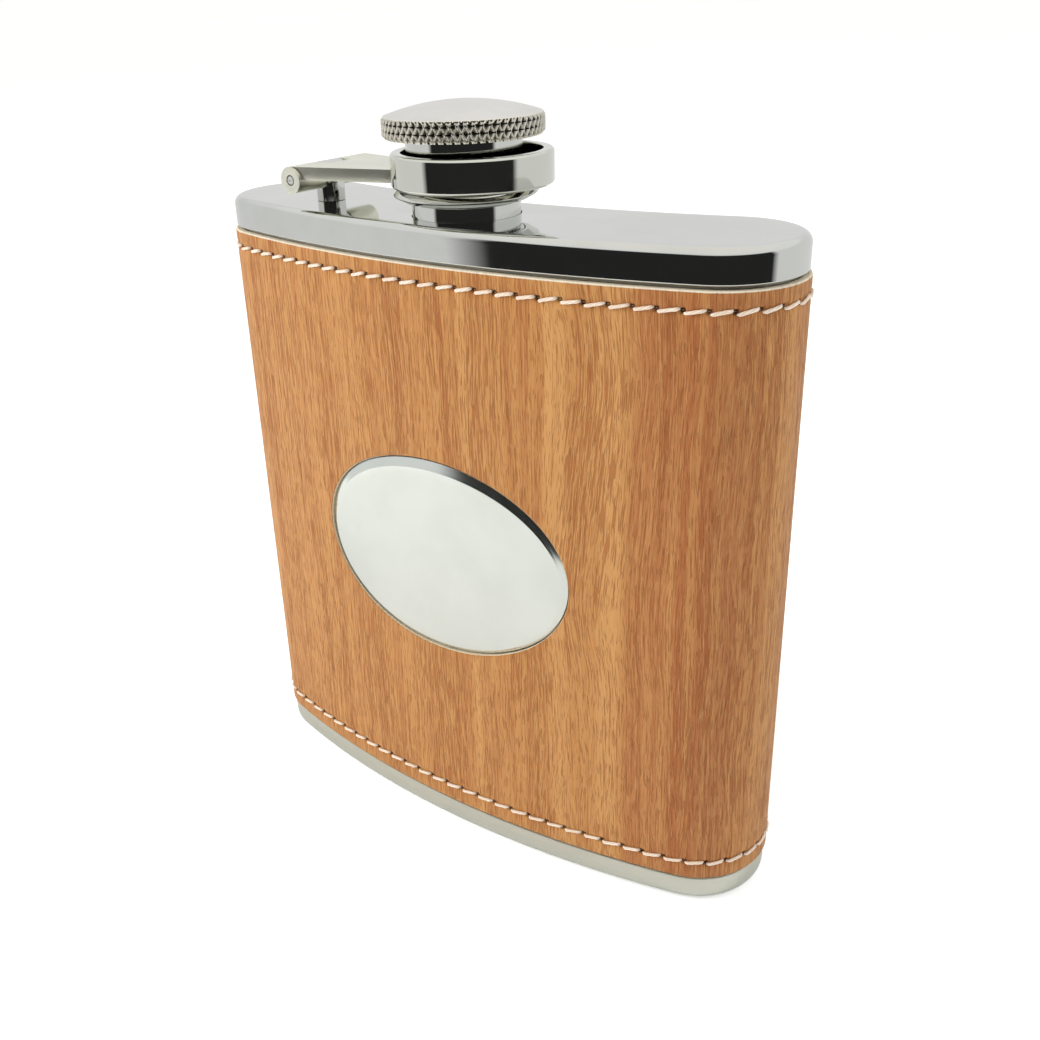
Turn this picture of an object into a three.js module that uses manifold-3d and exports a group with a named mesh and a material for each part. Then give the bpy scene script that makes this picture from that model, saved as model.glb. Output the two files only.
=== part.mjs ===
// Pocket hip flask: a kidney-section steel body in a wood-grain wrap, with a screw cap held captive by a
// ring on a hinged arm. Millimetres, +Z up, front face towards -Y, base standing on z = 0.
import * as THREE from 'three';
import { mergeVertices } from 'three/addons/utils/BufferGeometryUtils.js';
import Module from 'manifold-3d';

const wasm = await Module();
wasm.setup();

// ---------------------------------------------------------------------------------------------------
// Driving dimensions
// ---------------------------------------------------------------------------------------------------

// Plan outline of the wrap's outer face: a bowed front, a hollow back and two round ends.
const WRAP_WIDTH = 95.7;
const WRAP_DEPTH = 23.0;
const FRONT_BOW = 7.4;
const BACK_BOW = 7.7;
const ARC_STEPS = 22;
const END_STEPS = 12;
const SOLVER_PASSES = 200;

// How far each layer lies inside the wrap's outer face.
const FACE_INNER = 0.5;
const BACKING_OUTER = 0.55;
const BACKING_INNER = 1.0;
const SHELL_OUTER = 1.1;
const SHELL_INNER = 1.7;
const LID_INSET = 0.31;
const BASE_INSET = 0.35;
const DISH_WALL = 0.6;

// Heights.
const WRAP_BOTTOM = 4.7;
const WRAP_TOP = 92.0;
const SHELL_BOTTOM = 1.9;
const SHELL_TOP = 95.4;
const BASE_LIP = 4.3;
const BASE_ROUND = 1.9;
const BASE_FLOOR = 1.5;
const BASE_RIM = 3.4;
const BASE_RECESS = 0.6;
const BASE_INNER_ROUND = 0.5;
const LID_LIP = 92.5;
const LID_TOP = 96.9;
const LID_ROUND = 1.6;
const LID_THICK = 0.6;
const EDGE_STEPS = 4;
const INNER_EDGE_STEPS = 2;

// The wrap's butt joint down the middle of the back.
const SEAM_GAP = 0.3;

// Oval window in the wrap, and the oval plate in it.
const WINDOW_X = 0.4;
const WINDOW_Z = 48.8;
const WINDOW_A = 22.75;
const WINDOW_B = 15.35;
const PLATE_GAP = 0.25;
const PLATE_OUTER = 0.1;
const PLATE_INNER = 0.7;
const PAD_OUTER = 0.75;
const PAD_INNER = 1.05;
const PAD_MARGIN = 2.5;
const OVAL_STEPS = 48;

// Stitching rows: one thread round the wrap near each edge.
const UPPER_ROW = 89.5;
const LOWER_ROW = 7.6;
const THREAD_LIFT = 0.05;
const THREAD_THICK = 0.3;
const THREAD_HEIGHT = 0.5;

// Filling spout in the middle of the lid.
const SPOUT_RADIUS = 7.5;
const SPOUT_HOLE = 7.6;
const SPOUT_BORE = 4.7;
const SPOUT_FLANGE = 9.2;
const SPOUT_FLANGE_BOTTOM = 95.4;
const SPOUT_FLANGE_TOP = 96.2;
const SPOUT_SHOULDER = 98.75;
const SPOUT_TOP = 104.6;
const THREAD_ROOT = 5.4;
const THREAD_CREST = 5.8;
const THREAD_PITCH = 1.3;
const THREAD_START = 99.2;
const THREAD_TURNS = 4;
const THREAD_CREST_AT = 0.35;
const THREAD_END_AT = 0.7;

// Cap: a knurled head, a stem with the inner thread, a retaining flange and a seal.
const HEAD_RADIUS = 11.0;
const HEAD_BOTTOM = 107.15;
const HEAD_RIM = 109.95;
const HEAD_DOME = 1.75;
const DOME_STEPS = 5;
const HEAD_CHAMFER = 0.3;
const STEM_RADIUS = 7.95;
const STEM_BORE = 7.0;
const STEM_GROOVE = 7.3;
const STEM_BOTTOM = 98.95;
const STEM_TOP = 107.05;
const STEM_CEILING = 105.8;
const FLANGE_BORE = 8.05;
const FLANGE_RADIUS = 10.0;
const FLANGE_FOOT = 8.6;
const FLANGE_CREST = 9.8;
const FLANGE_TOP_RADIUS = 9.35;
const FLANGE_TOP = 100.5;
const FLANGE_BAND = 0.3;
const SEAL_RADIUS = 6.5;
const SEAL_BOTTOM = 104.95;
const SEAL_TOP = 105.7;

// Captive arm: a ring round the stem, a tapering plate and a hinge barrel on a pin.
const HINGE_X = -26.1;
const HINGE_Z = 100.75;
const BARREL_RADIUS = 1.9;
const BARREL_HALF = 8.0;
const RING_X = 1.3;
const RING_OUTER = 11.1;
const RING_INNER = 9.65;
const RING_BOTTOM = 100.85;
const RING_TOP = 105.4;
const RING_CHAMFER = 0.3;
const ARM_BOTTOM = 100.85;
const ARM_HALF_AT_RING = 4.0;
const POST_RADIUS = 2.1;
const POST_FOOT = 96.95;
const KNUCKLE_GAP = 0.3;
const SLOT_REACH = 2.8;
const PIN_RADIUS = 0.6;
const PIN_BORE = 0.75;

// Facets round the turned pieces, and how far cutting tools pass beyond what they cut.
const ROUND_STEPS = 32;
const FINE_STEPS = 48;
const CUT_REACH = 1;
const MERGE_TOLERANCE = 1e-5;

// ---------------------------------------------------------------------------------------------------
// Plan outline
// ---------------------------------------------------------------------------------------------------

const half = WRAP_WIDTH / 2;
const frontRadius = (half ** 2 + FRONT_BOW ** 2) / (2 * FRONT_BOW);
const backRadius = (half ** 2 + BACK_BOW ** 2) / (2 * BACK_BOW);
const frontCentre = frontRadius - WRAP_DEPTH / 2;
const backCentre = backRadius + WRAP_DEPTH / 2;

// The end circle touches the front arc from inside, the back arc from outside and the side line.
function solveEnd() {
  let radius = WRAP_DEPTH / 2;
  let centreY = 0;
  for (let pass = 0; pass < SOLVER_PASSES; pass += 1) {
    const x = half - radius;
    const touchFront = frontCentre - Math.sqrt((frontRadius - radius) ** 2 - x * x);
    const touchBack = backCentre - Math.sqrt((backRadius + radius) ** 2 - x * x);
    centreY = (touchFront + touchBack) / 2;
    const gap = touchBack - touchFront;
    radius += gap / 4;
  }
  return { radius, x: half - radius, y: centreY };
}

const end = solveEnd();
// The hollow back carries the ends rearwards, so the whole flask is moved to centre its depth on y = 0.
const CENTRE_Y = (WRAP_DEPTH / 2 - (end.y + end.radius)) / 2;

// Points round the outline, moved inwards by inset, anticlockwise from the left end of the front arc.
function outline(inset) {
  const frontHalf = Math.atan2(end.x, frontCentre - end.y);
  const backHalf = Math.atan2(end.x, backCentre - end.y);
  const points = [];
  const arc = (x, y, radius, from, to, steps) => {
    for (let i = 0; i < steps; i += 1) {
      const angle = from + ((to - from) * i) / steps;
      points.push(new THREE.Vector2(x + radius * Math.sin(angle), y - radius * Math.cos(angle)));
    }
  };
  arc(0, frontCentre, frontRadius - inset, -frontHalf, frontHalf, ARC_STEPS);
  arc(end.x, end.y, end.radius - inset, frontHalf, Math.PI + backHalf, END_STEPS);
  arc(0, backCentre, backRadius + inset, backHalf, -backHalf, ARC_STEPS);
  arc(-end.x, end.y, end.radius - inset, -Math.PI - backHalf, -frontHalf, END_STEPS);
  return points;
}

// ---------------------------------------------------------------------------------------------------
// Solids
// ---------------------------------------------------------------------------------------------------

// A closed solid through the outline at each section [inset, z], from the lowest to the highest.
function loft(sections) {
  const rings = sections.map(([inset]) => outline(inset));
  const count = rings[0].length;
  const positions = [];
  rings.forEach((ring, level) => {
    ring.forEach((point) => positions.push(point.x, point.y, sections[level][1]));
  });
  const indices = [];
  for (let level = 0; level + 1 < rings.length; level += 1) {
    for (let i = 0; i < count; i += 1) {
      const next = (i + 1) % count;
      const below = level * count;
      const above = below + count;
      indices.push(below + i, below + next, above + next, below + i, above + next, above + i);
    }
  }
  const top = (rings.length - 1) * count;
  THREE.ShapeUtils.triangulateShape(rings[0], []).forEach(([a, b, c]) => indices.push(a, c, b));
  THREE.ShapeUtils.triangulateShape(rings[rings.length - 1], []).forEach(([a, b, c]) => {
    indices.push(top + a, top + b, top + c);
  });
  const geometry = new THREE.BufferGeometry();
  geometry.setAttribute('position', new THREE.Float32BufferAttribute(positions, 3));
  geometry.setIndex(indices);
  return geometry;
}

// Sections of a quarter round from a vertical wall at inset into a flat face at z; side is 1 for a
// rounded top edge and -1 for a rounded bottom edge.
function quarterRound(inset, z, radius, side, steps = EDGE_STEPS) {
  const sections = [];
  for (let i = 0; i <= steps; i += 1) {
    const angle = (Math.PI / 2) * (i / steps);
    const drop = radius * (1 - Math.sin(angle));
    sections.push([inset + radius * (1 - Math.cos(angle)), z - side * drop]);
  }
  return side > 0 ? sections : sections.reverse();
}

// A solid of revolution about the vertical line x, 0, from a closed profile of [radius, z] points.
function turned(profile, x = 0, steps = ROUND_STEPS) {
  const points = [...profile, profile[0]].map(([radius, z]) => new THREE.Vector2(radius, z));
  const geometry = new THREE.LatheGeometry(points, steps);
  geometry.rotateX(Math.PI / 2);
  return geometry.translate(x, 0, 0);
}

// A cylinder along Y between two heights of y, about the line through x and z.
function crossCylinder(radius, fromY, toY, x, z, steps = ROUND_STEPS / 2) {
  const geometry = new THREE.CylinderGeometry(radius, radius, toY - fromY, steps);
  return geometry.translate(x, (fromY + toY) / 2, z);
}

// An upright cylinder between two heights.
function uprightCylinder(radius, fromZ, toZ, x, steps = ROUND_STEPS) {
  const geometry = new THREE.CylinderGeometry(radius, radius, toZ - fromZ, steps);
  geometry.rotateX(Math.PI / 2);
  return geometry.translate(x, 0, (fromZ + toZ) / 2);
}

// An elliptical bar along Y, centred on the window, from y = fromY to y = toY.
function ovalBar(a, b, fromY, toY) {
  const shape = new THREE.Shape().absellipse(WINDOW_X, WINDOW_Z, a, b, 0, Math.PI * 2);
  const options = { depth: toY - fromY, bevelEnabled: false, curveSegments: OVAL_STEPS };
  const geometry = new THREE.ExtrudeGeometry(shape, options);
  geometry.rotateX(Math.PI / 2);
  return geometry.translate(0, toY, 0);
}

// A box between two corners.
function block(low, high) {
  const size = high.map((value, i) => value - low[i]);
  const geometry = new THREE.BoxGeometry(...size);
  return geometry.translate(...high.map((value, i) => (value + low[i]) / 2));
}

// The closed geometry as a manifold solid.
function solid(geometry) {
  const plain = geometry.clone();
  plain.deleteAttribute('normal');
  plain.deleteAttribute('uv');
  const merged = mergeVertices(plain, MERGE_TOLERANCE);
  return new wasm.Manifold(new wasm.Mesh({
    numProp: 3,
    vertProperties: new Float32Array(merged.attributes.position.array),
    triVerts: new Uint32Array(merged.index.array),
  }));
}

// A manifold solid as a geometry with flat normals.
function surface(manifold) {
  const mesh = manifold.getMesh();
  const geometry = new THREE.BufferGeometry();
  geometry.setAttribute('position', new THREE.Float32BufferAttribute(mesh.vertProperties, 3));
  geometry.setIndex([...mesh.triVerts]);
  geometry.computeVertexNormals();
  return geometry;
}

// The layer between two insets of the outline, from one height to another.
function layer(outer, inner, bottom, top) {
  const outside = solid(loft([[outer, bottom], [outer, top]]));
  return outside.subtract(solid(loft([[inner, bottom - CUT_REACH], [inner, top + CUT_REACH]])));
}

// ---------------------------------------------------------------------------------------------------
// Materials
// ---------------------------------------------------------------------------------------------------

const finish = (color, roughness, metalness) => new THREE.MeshStandardMaterial({ color, roughness, metalness });
const polishedSteel = () => finish(0xb9bbb8, 0.12, 1.0);
const satinSteel = () => finish(0xc4c3bd, 0.38, 1.0);
const brushedSteel = () => finish(0xb4b9b0, 0.32, 1.0);
const woodGrain = () => finish(0xc98f5c, 0.55, 0.0);
const creamBacking = () => finish(0xe6d6b4, 0.85, 0.0);
const creamThread = () => finish(0xe9d8c6, 0.8, 0.0);
const clearTape = () => finish(0xd8d6cc, 0.5, 0.0);
const blackRubber = () => finish(0x1c1c1c, 0.7, 0.0);

const flask = new THREE.Group();
flask.position.y = CENTRE_Y;

function add(name, geometry, material) {
  const mesh = new THREE.Mesh(geometry, material);
  mesh.name = name;
  flask.add(mesh);
}

// ---------------------------------------------------------------------------------------------------
// Body
// ---------------------------------------------------------------------------------------------------

function bodyShell() {
  return surface(layer(SHELL_OUTER, SHELL_INNER, SHELL_BOTTOM, SHELL_TOP));
}

// A shallow dish under the shell: a standing rim round a raised panel, and a lip up to the wrap.
function basePlate() {
  const inner = BASE_INSET + DISH_WALL;
  const outside = solid(loft([
    ...quarterRound(BASE_INSET, 0, BASE_ROUND, -1),
    [BASE_INSET, BASE_LIP],
  ]));
  const hollow = solid(loft([
    ...quarterRound(inner, BASE_FLOOR, BASE_INNER_ROUND, -1, INNER_EDGE_STEPS),
    [inner, BASE_LIP + CUT_REACH],
  ]));
  const recess = solid(loft([
    [BASE_INSET + BASE_RIM, -CUT_REACH],
    [BASE_INSET + BASE_RIM, 0],
    [BASE_INSET + BASE_RIM + BASE_RECESS, BASE_RECESS],
  ]));
  return surface(outside.subtract(hollow).subtract(recess));
}

// A dish over the shell with a rounded top edge and the spout's hole.
function lidPlate() {
  const inner = LID_INSET + DISH_WALL;
  const ceiling = LID_TOP - LID_THICK;
  const outside = solid(loft([[LID_INSET, LID_LIP], ...quarterRound(LID_INSET, LID_TOP, LID_ROUND, 1)]));
  const hollow = solid(loft([
    [inner, LID_LIP - CUT_REACH],
    ...quarterRound(inner, ceiling, LID_ROUND - DISH_WALL, 1, INNER_EDGE_STEPS),
  ]));
  const hole = solid(uprightCylinder(SPOUT_HOLE, ceiling - CUT_REACH, LID_TOP + CUT_REACH, 0));
  return surface(outside.subtract(hollow).subtract(hole));
}

// A flanged tube through the lid: a plain shoulder below, a screw thread above.
function fillingSpout() {
  const profile = [
    [SPOUT_BORE, SPOUT_FLANGE_BOTTOM],
    [SPOUT_FLANGE, SPOUT_FLANGE_BOTTOM],
    [SPOUT_FLANGE, SPOUT_FLANGE_TOP],
    [SPOUT_RADIUS, SPOUT_FLANGE_TOP],
    [SPOUT_RADIUS, SPOUT_SHOULDER],
    [THREAD_ROOT, SPOUT_SHOULDER],
  ];
  for (let turn = 0; turn < THREAD_TURNS; turn += 1) {
    const z = THREAD_START + turn * THREAD_PITCH;
    profile.push([THREAD_ROOT, z]);
    profile.push([THREAD_CREST, z + THREAD_PITCH * THREAD_CREST_AT]);
    profile.push([THREAD_ROOT, z + THREAD_PITCH * THREAD_END_AT]);
  }
  profile.push([THREAD_ROOT, SPOUT_TOP], [SPOUT_BORE, SPOUT_TOP]);
  return turned(profile);
}

// ---------------------------------------------------------------------------------------------------
// Wrap, stitching and oval plate
// ---------------------------------------------------------------------------------------------------

// One layer of the wrap, with the oval window in front and the butt joint at the back.
function wrapLayer(outer, inner) {
  const band = layer(outer, inner, WRAP_BOTTOM, WRAP_TOP);
  const window = solid(ovalBar(WINDOW_A, WINDOW_B, -WRAP_DEPTH, 0));
  const seam = solid(block(
    [-SEAM_GAP / 2, 0, WRAP_BOTTOM - CUT_REACH],
    [SEAM_GAP / 2, WRAP_DEPTH, WRAP_TOP + CUT_REACH],
  ));
  return surface(band.subtract(window).subtract(seam));
}

function threadRow(z) {
  const outer = -THREAD_LIFT - THREAD_THICK;
  return surface(layer(outer, -THREAD_LIFT, z - THREAD_HEIGHT / 2, z + THREAD_HEIGHT / 2));
}

// A thin oval that follows the bowed front between two insets.
function bowedOval(a, b, outer, inner) {
  const bar = solid(ovalBar(a, b, -WRAP_DEPTH, 0));
  return surface(layer(outer, inner, WRAP_BOTTOM, WRAP_TOP).intersect(bar));
}

// ---------------------------------------------------------------------------------------------------
// Hinge and captive arm
// ---------------------------------------------------------------------------------------------------

// A round post whose top is the middle knuckle of the hinge.
function hingePost() {
  const post = solid(uprightCylinder(POST_RADIUS, POST_FOOT, HINGE_Z, HINGE_X, ROUND_STEPS / 2));
  const knuckle = solid(crossCylinder(BARREL_RADIUS, -POST_RADIUS, POST_RADIUS, HINGE_X, HINGE_Z));
  const bore = solid(crossCylinder(PIN_BORE, -BARREL_HALF, BARREL_HALF, HINGE_X, HINGE_Z));
  return surface(post.add(knuckle).subtract(bore));
}

// The arm's plate in plan: as wide as the barrel at the hinge, tapering into the ring.
function armPlate() {
  const reach = RING_X - Math.sqrt(RING_OUTER ** 2 - ARM_HALF_AT_RING ** 2) + (RING_OUTER - RING_INNER) / 2;
  const shape = new THREE.Shape();
  shape.moveTo(HINGE_X, -BARREL_HALF);
  shape.lineTo(reach, -ARM_HALF_AT_RING);
  shape.lineTo(reach, ARM_HALF_AT_RING);
  shape.lineTo(HINGE_X, BARREL_HALF);
  shape.closePath();
  const depth = HINGE_Z + BARREL_RADIUS - ARM_BOTTOM;
  return new THREE.ExtrudeGeometry(shape, { depth, bevelEnabled: false }).translate(0, 0, ARM_BOTTOM);
}

// Ring, plate and two knuckles in one piece, slotted round the post.
function retainerArm() {
  const c = RING_CHAMFER;
  const ring = solid(turned([
    [RING_INNER, RING_BOTTOM],
    [RING_OUTER - c, RING_BOTTOM],
    [RING_OUTER, RING_BOTTOM + c],
    [RING_OUTER, RING_TOP - c],
    [RING_OUTER - c, RING_TOP],
    [RING_INNER, RING_TOP],
  ], RING_X, FINE_STEPS));
  const barrel = solid(crossCylinder(BARREL_RADIUS, -BARREL_HALF, BARREL_HALF, HINGE_X, HINGE_Z));
  const boreHalf = BARREL_HALF + CUT_REACH;
  const bore = solid(crossCylinder(PIN_BORE, -boreHalf, boreHalf, HINGE_X, HINGE_Z));
  const clear = POST_RADIUS + KNUCKLE_GAP;
  const slot = solid(block(
    [HINGE_X - 2 * BARREL_RADIUS, -clear, HINGE_Z - 2 * BARREL_RADIUS],
    [HINGE_X + SLOT_REACH, clear, HINGE_Z + 2 * BARREL_RADIUS],
  ));
  return surface(ring.add(solid(armPlate())).add(barrel).subtract(bore).subtract(slot));
}

// ---------------------------------------------------------------------------------------------------
// Cap
// ---------------------------------------------------------------------------------------------------

// Flat below, a chamfered rim and a shallow dome.
function capHead() {
  const profile = [
    [0, HEAD_BOTTOM],
    [HEAD_RADIUS - HEAD_CHAMFER, HEAD_BOTTOM],
    [HEAD_RADIUS, HEAD_BOTTOM + HEAD_CHAMFER],
    [HEAD_RADIUS, HEAD_RIM - HEAD_CHAMFER],
    [HEAD_RADIUS - HEAD_CHAMFER, HEAD_RIM],
  ];
  const edge = HEAD_RADIUS - HEAD_CHAMFER;
  const domeRadius = (edge ** 2 + HEAD_DOME ** 2) / (2 * HEAD_DOME);
  for (let i = DOME_STEPS - 1; i >= 0; i -= 1) {
    const radius = (edge * i) / DOME_STEPS;
    profile.push([radius, HEAD_RIM + HEAD_DOME - domeRadius + Math.sqrt(domeRadius ** 2 - radius ** 2)]);
  }
  const points = profile.map(([radius, z]) => new THREE.Vector2(radius, z));
  return new THREE.LatheGeometry(points, FINE_STEPS).rotateX(Math.PI / 2);
}

// A thimble with a grooved bore, closed above.
function capStem() {
  const profile = [
    [0, STEM_TOP],
    [0, STEM_CEILING],
    [STEM_BORE, STEM_CEILING],
  ];
  for (let turn = THREAD_TURNS - 1; turn >= 0; turn -= 1) {
    const z = THREAD_START + turn * THREAD_PITCH;
    profile.push([STEM_BORE, z + THREAD_PITCH * THREAD_END_AT]);
    profile.push([STEM_GROOVE, z + THREAD_PITCH * THREAD_CREST_AT]);
    profile.push([STEM_BORE, z]);
  }
  profile.push([STEM_BORE, STEM_BOTTOM], [STEM_RADIUS, STEM_BOTTOM], [STEM_RADIUS, STEM_TOP], [0, STEM_TOP]);
  const points = profile.map(([radius, z]) => new THREE.Vector2(radius, z));
  return new THREE.LatheGeometry(points, ROUND_STEPS).rotateX(Math.PI / 2);
}

// The lock ring on the stem's foot that the captive ring can't pass.
function capFlange() {
  const middle = (STEM_BOTTOM + FLANGE_TOP) / 2;
  return turned([
    [FLANGE_BORE, STEM_BOTTOM],
    [FLANGE_FOOT, STEM_BOTTOM],
    [FLANGE_CREST, middle - FLANGE_BAND / 2],
    [FLANGE_RADIUS, middle + FLANGE_BAND / 2],
    [FLANGE_TOP_RADIUS, FLANGE_TOP],
    [FLANGE_BORE, FLANGE_TOP],
  ], 0, FINE_STEPS);
}

// ---------------------------------------------------------------------------------------------------
// Assembly
// ---------------------------------------------------------------------------------------------------

add('body_shell', bodyShell(), brushedSteel());
add('base_plate', basePlate(), brushedSteel());
add('lid_plate', lidPlate(), polishedSteel());
add('filling_spout', fillingSpout(), polishedSteel());

add('wrap_backing', wrapLayer(BACKING_OUTER, BACKING_INNER), creamBacking());
add('wrap_face', wrapLayer(0, FACE_INNER), woodGrain());
add('upper_stitching', threadRow(UPPER_ROW), creamThread());
add('lower_stitching', threadRow(LOWER_ROW), creamThread());
add('oval_plate', bowedOval(WINDOW_A - PLATE_GAP, WINDOW_B - PLATE_GAP, PLATE_OUTER, PLATE_INNER), polishedSteel());
add('oval_plate_tape', bowedOval(WINDOW_A - PAD_MARGIN, WINDOW_B - PAD_MARGIN, PAD_OUTER, PAD_INNER), clearTape());

add('hinge_post', hingePost(), polishedSteel());
add('hinge_pin', crossCylinder(PIN_RADIUS, -BARREL_HALF, BARREL_HALF, HINGE_X, HINGE_Z), satinSteel());
add('retainer_arm', retainerArm(), polishedSteel());

add('cap_head', capHead(), satinSteel());
add('cap_stem', capStem(), polishedSteel());
add('cap_flange', capFlange(), polishedSteel());
add('cap_seal', uprightCylinder(SEAL_RADIUS, SEAL_BOTTOM, SEAL_TOP, 0), blackRubber());

export default flask;
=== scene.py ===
import math

import bpy
import numpy as np
from mathutils import Matrix, Vector


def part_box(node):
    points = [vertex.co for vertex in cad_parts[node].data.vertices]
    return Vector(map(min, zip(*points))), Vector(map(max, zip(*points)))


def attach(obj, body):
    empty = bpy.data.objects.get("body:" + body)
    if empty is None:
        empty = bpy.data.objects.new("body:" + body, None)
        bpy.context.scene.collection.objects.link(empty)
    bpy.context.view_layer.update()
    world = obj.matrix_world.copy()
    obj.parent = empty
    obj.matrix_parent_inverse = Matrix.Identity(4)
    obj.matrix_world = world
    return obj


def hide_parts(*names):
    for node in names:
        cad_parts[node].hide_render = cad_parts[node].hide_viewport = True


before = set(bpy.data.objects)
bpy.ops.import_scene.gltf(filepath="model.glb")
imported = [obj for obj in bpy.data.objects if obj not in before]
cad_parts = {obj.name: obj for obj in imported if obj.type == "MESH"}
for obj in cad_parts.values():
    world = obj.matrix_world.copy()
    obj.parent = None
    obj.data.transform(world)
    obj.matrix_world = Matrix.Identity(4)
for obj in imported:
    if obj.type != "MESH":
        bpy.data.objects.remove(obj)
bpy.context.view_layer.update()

MM = 0.001


def span(node):
    """Lowest and highest corner of a CAD node in millimetres."""
    low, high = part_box(node)
    return np.array(low, float) / MM, np.array(high, float) / MM


# ---- Dimensions, in millimetres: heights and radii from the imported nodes, the bows as they are drawn

wrap_low, wrap_high = span("wrap_face")
lid_low, lid_high = span("lid_plate")
base_high = span("base_plate")[1]
head_low, head_high = span("cap_head")
stem_low, stem_high = span("cap_stem")
flange_low, flange_high = span("cap_flange")
spout_low, spout_high = span("filling_spout")
arm_low, arm_high = span("retainer_arm")
post_low, post_high = span("hinge_post")
pin_low, pin_high = span("hinge_pin")
plate_low, plate_high = span("oval_plate")
upper_low, upper_high = span("upper_stitching")
lower_low, lower_high = span("lower_stitching")

CENTRE_Y = (head_low[1] + head_high[1]) / 2

WIDTH = wrap_high[0] - wrap_low[0]
DEPTH = 23.0
FRONT_BOW = 7.4
BACK_BOW = 7.7
FACE_THICK = 0.5
BACKING_OUTER = 0.55
BACKING_INNER = 1.0
DISH_WALL = 0.6
WINDOW_X = (plate_low[0] + plate_high[0]) / 2
WINDOW_Z = (plate_low[2] + plate_high[2]) / 2
WINDOW_A = (plate_high[0] - plate_low[0]) / 2 + 0.25
WINDOW_B = (plate_high[2] - plate_low[2]) / 2 + 0.25
STITCH_PITCH = 3.15
SEAM_TO_HOLE = 1.1
THREAD_ROOT = 5.4
THREAD_CREST = 5.8
STEM_BORE = 7.0
STEM_GROOVE = 7.3
THREAD_PITCH = 1.3
THREAD_START = 99.2
THREAD_TURNS = 3.6
THREAD_FLANK = 0.34
RING_OUTER = 11.1
PIN_HOLE = 0.75
ARM_HALF = 4.0
SLOT_HALF = 2.4
FINE_LOW, FINE_HIGH, FINE_ROW = 9.5, 87.7, 0.23
INNER_LOW, INNER_HIGH = 7.0, 89.8

half = WIDTH / 2
front_radius = (half ** 2 + FRONT_BOW ** 2) / (2 * FRONT_BOW)
back_radius = (half ** 2 + BACK_BOW ** 2) / (2 * BACK_BOW)
front_centre = front_radius - DEPTH / 2
back_centre = back_radius + DEPTH / 2


def solve_end():
    radius = DEPTH / 2
    y = 0.0
    for _ in range(200):
        x = half - radius
        touch_front = front_centre - math.sqrt((front_radius - radius) ** 2 - x * x)
        touch_back = back_centre - math.sqrt((back_radius + radius) ** 2 - x * x)
        y = (touch_front + touch_back) / 2
        radius += (touch_back - touch_front) / 4
    return half - radius, y, radius


end_x, end_y, end_radius = solve_end()
FRONT_HALF = math.atan2(end_x, front_centre - end_y)
BACK_HALF = math.atan2(end_x, back_centre - end_y)


class Trace:
    """Columns round the plan outline: an arc's centre, radius, side and direction for each."""

    def __init__(self, front, ends, back, seam=None):
        f, b, pi = FRONT_HALF, BACK_HALF, math.pi
        front_arc = (0, front_centre, front_radius, 1, -f, f, front)
        right = (end_x, end_y, end_radius, 1, f, pi + b, ends)
        left = (-end_x, end_y, end_radius, 1, -pi - b, -f, ends)
        if seam is None:
            arcs = [front_arc, right, (0, back_centre, back_radius, -1, b, -b, back), left]
        else:
            gap = seam / 2 / back_radius
            left_back = (0, back_centre, back_radius, -1, -gap, -b, back // 2)
            right_back = (0, back_centre, back_radius, -1, b, gap, back // 2)
            arcs = [left_back, left, front_arc, right, right_back]
        rows = []
        along = [0.0]
        for x, y, radius, side, start, stop, count in arcs:
            for i in range(count):
                rows.append((x, y, radius, side, start + (stop - start) * i / count))
                along.append(along[-1] + abs(stop - start) / count * radius)
        if seam is not None:
            x, y, radius, side, _, stop, _ = arcs[-1]
            rows.append((x, y, radius, side, stop))
        table = np.array(rows)
        self.centre = table[:, :2]
        self.radius = table[:, 2]
        self.side = table[:, 3]
        self.angle = table[:, 4]
        self.direction = np.stack([np.sin(self.angle), -np.cos(self.angle)], 1)
        self.normal = self.direction * self.side[:, None]
        self.u = np.array(along[:len(rows)])
        self.length = along[-1]
        self.count = len(rows)

    def ring(self, inset, z):
        """Points at an inset, which may differ from column to column."""
        reach = self.radius - self.side * inset
        xy = self.centre + self.direction * reach[:, None]
        return np.column_stack([xy, np.full(self.count, float(z)) if np.isscalar(z) else z])


# ---- Mesh building


def raw_mesh(name, points, faces):
    mesh = bpy.data.meshes.new(name)
    mesh.from_pydata(np.asarray(points, float).tolist(), [], faces)
    return mesh


def linked(name, data):
    obj = bpy.data.objects.new(name, data)
    bpy.context.scene.collection.objects.link(obj)
    return obj


def make(name, points, faces, *details):
    """A mesh piece from points in millimetres about the flask's own centre line."""
    points = np.asarray(points, float).copy()
    points[:, 1] += CENTRE_Y
    place(name, raw_mesh(name, points * MM, faces), *details)


def place(name, mesh, body, node, slot, materials, sharp=None, face_materials=None,
          values=None, vectors=None):
    mesh.validate(clean_customdata=False)
    for material in materials:
        mesh.materials.append(material)
    if face_materials is not None:
        mesh.polygons.foreach_set("material_index", np.asarray(face_materials, np.int32))
    for kind, field, layers in (("FLOAT", "value", values), ("FLOAT_VECTOR", "vector", vectors)):
        for key, data in (layers or {}).items():
            layer = mesh.attributes.new(key, kind, "POINT")
            layer.data.foreach_set(field, np.asarray(data, np.float32).ravel())
    mesh.polygons.foreach_set("use_smooth", np.ones(len(mesh.polygons), bool))
    if sharp is not None:
        mesh.set_sharp_from_angle(angle=math.radians(sharp))
    mesh.update()
    obj = linked(name, mesh)
    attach(obj, body)
    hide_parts(node)


def strips(rings, joined=False):
    """Quads between consecutive rings of equal length, facing outwards for anticlockwise rings
    listed from below upwards. Joined rings run on from the last one back to the first."""
    count = len(rings[0])
    total = len(rings)
    faces = []
    for row in range(total if joined else total - 1):
        below = row * count
        above = ((row + 1) % total) * count
        for i in range(count):
            j = (i + 1) % count
            faces.append((below + i, below + j, above + j, above + i))
    return faces


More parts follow.
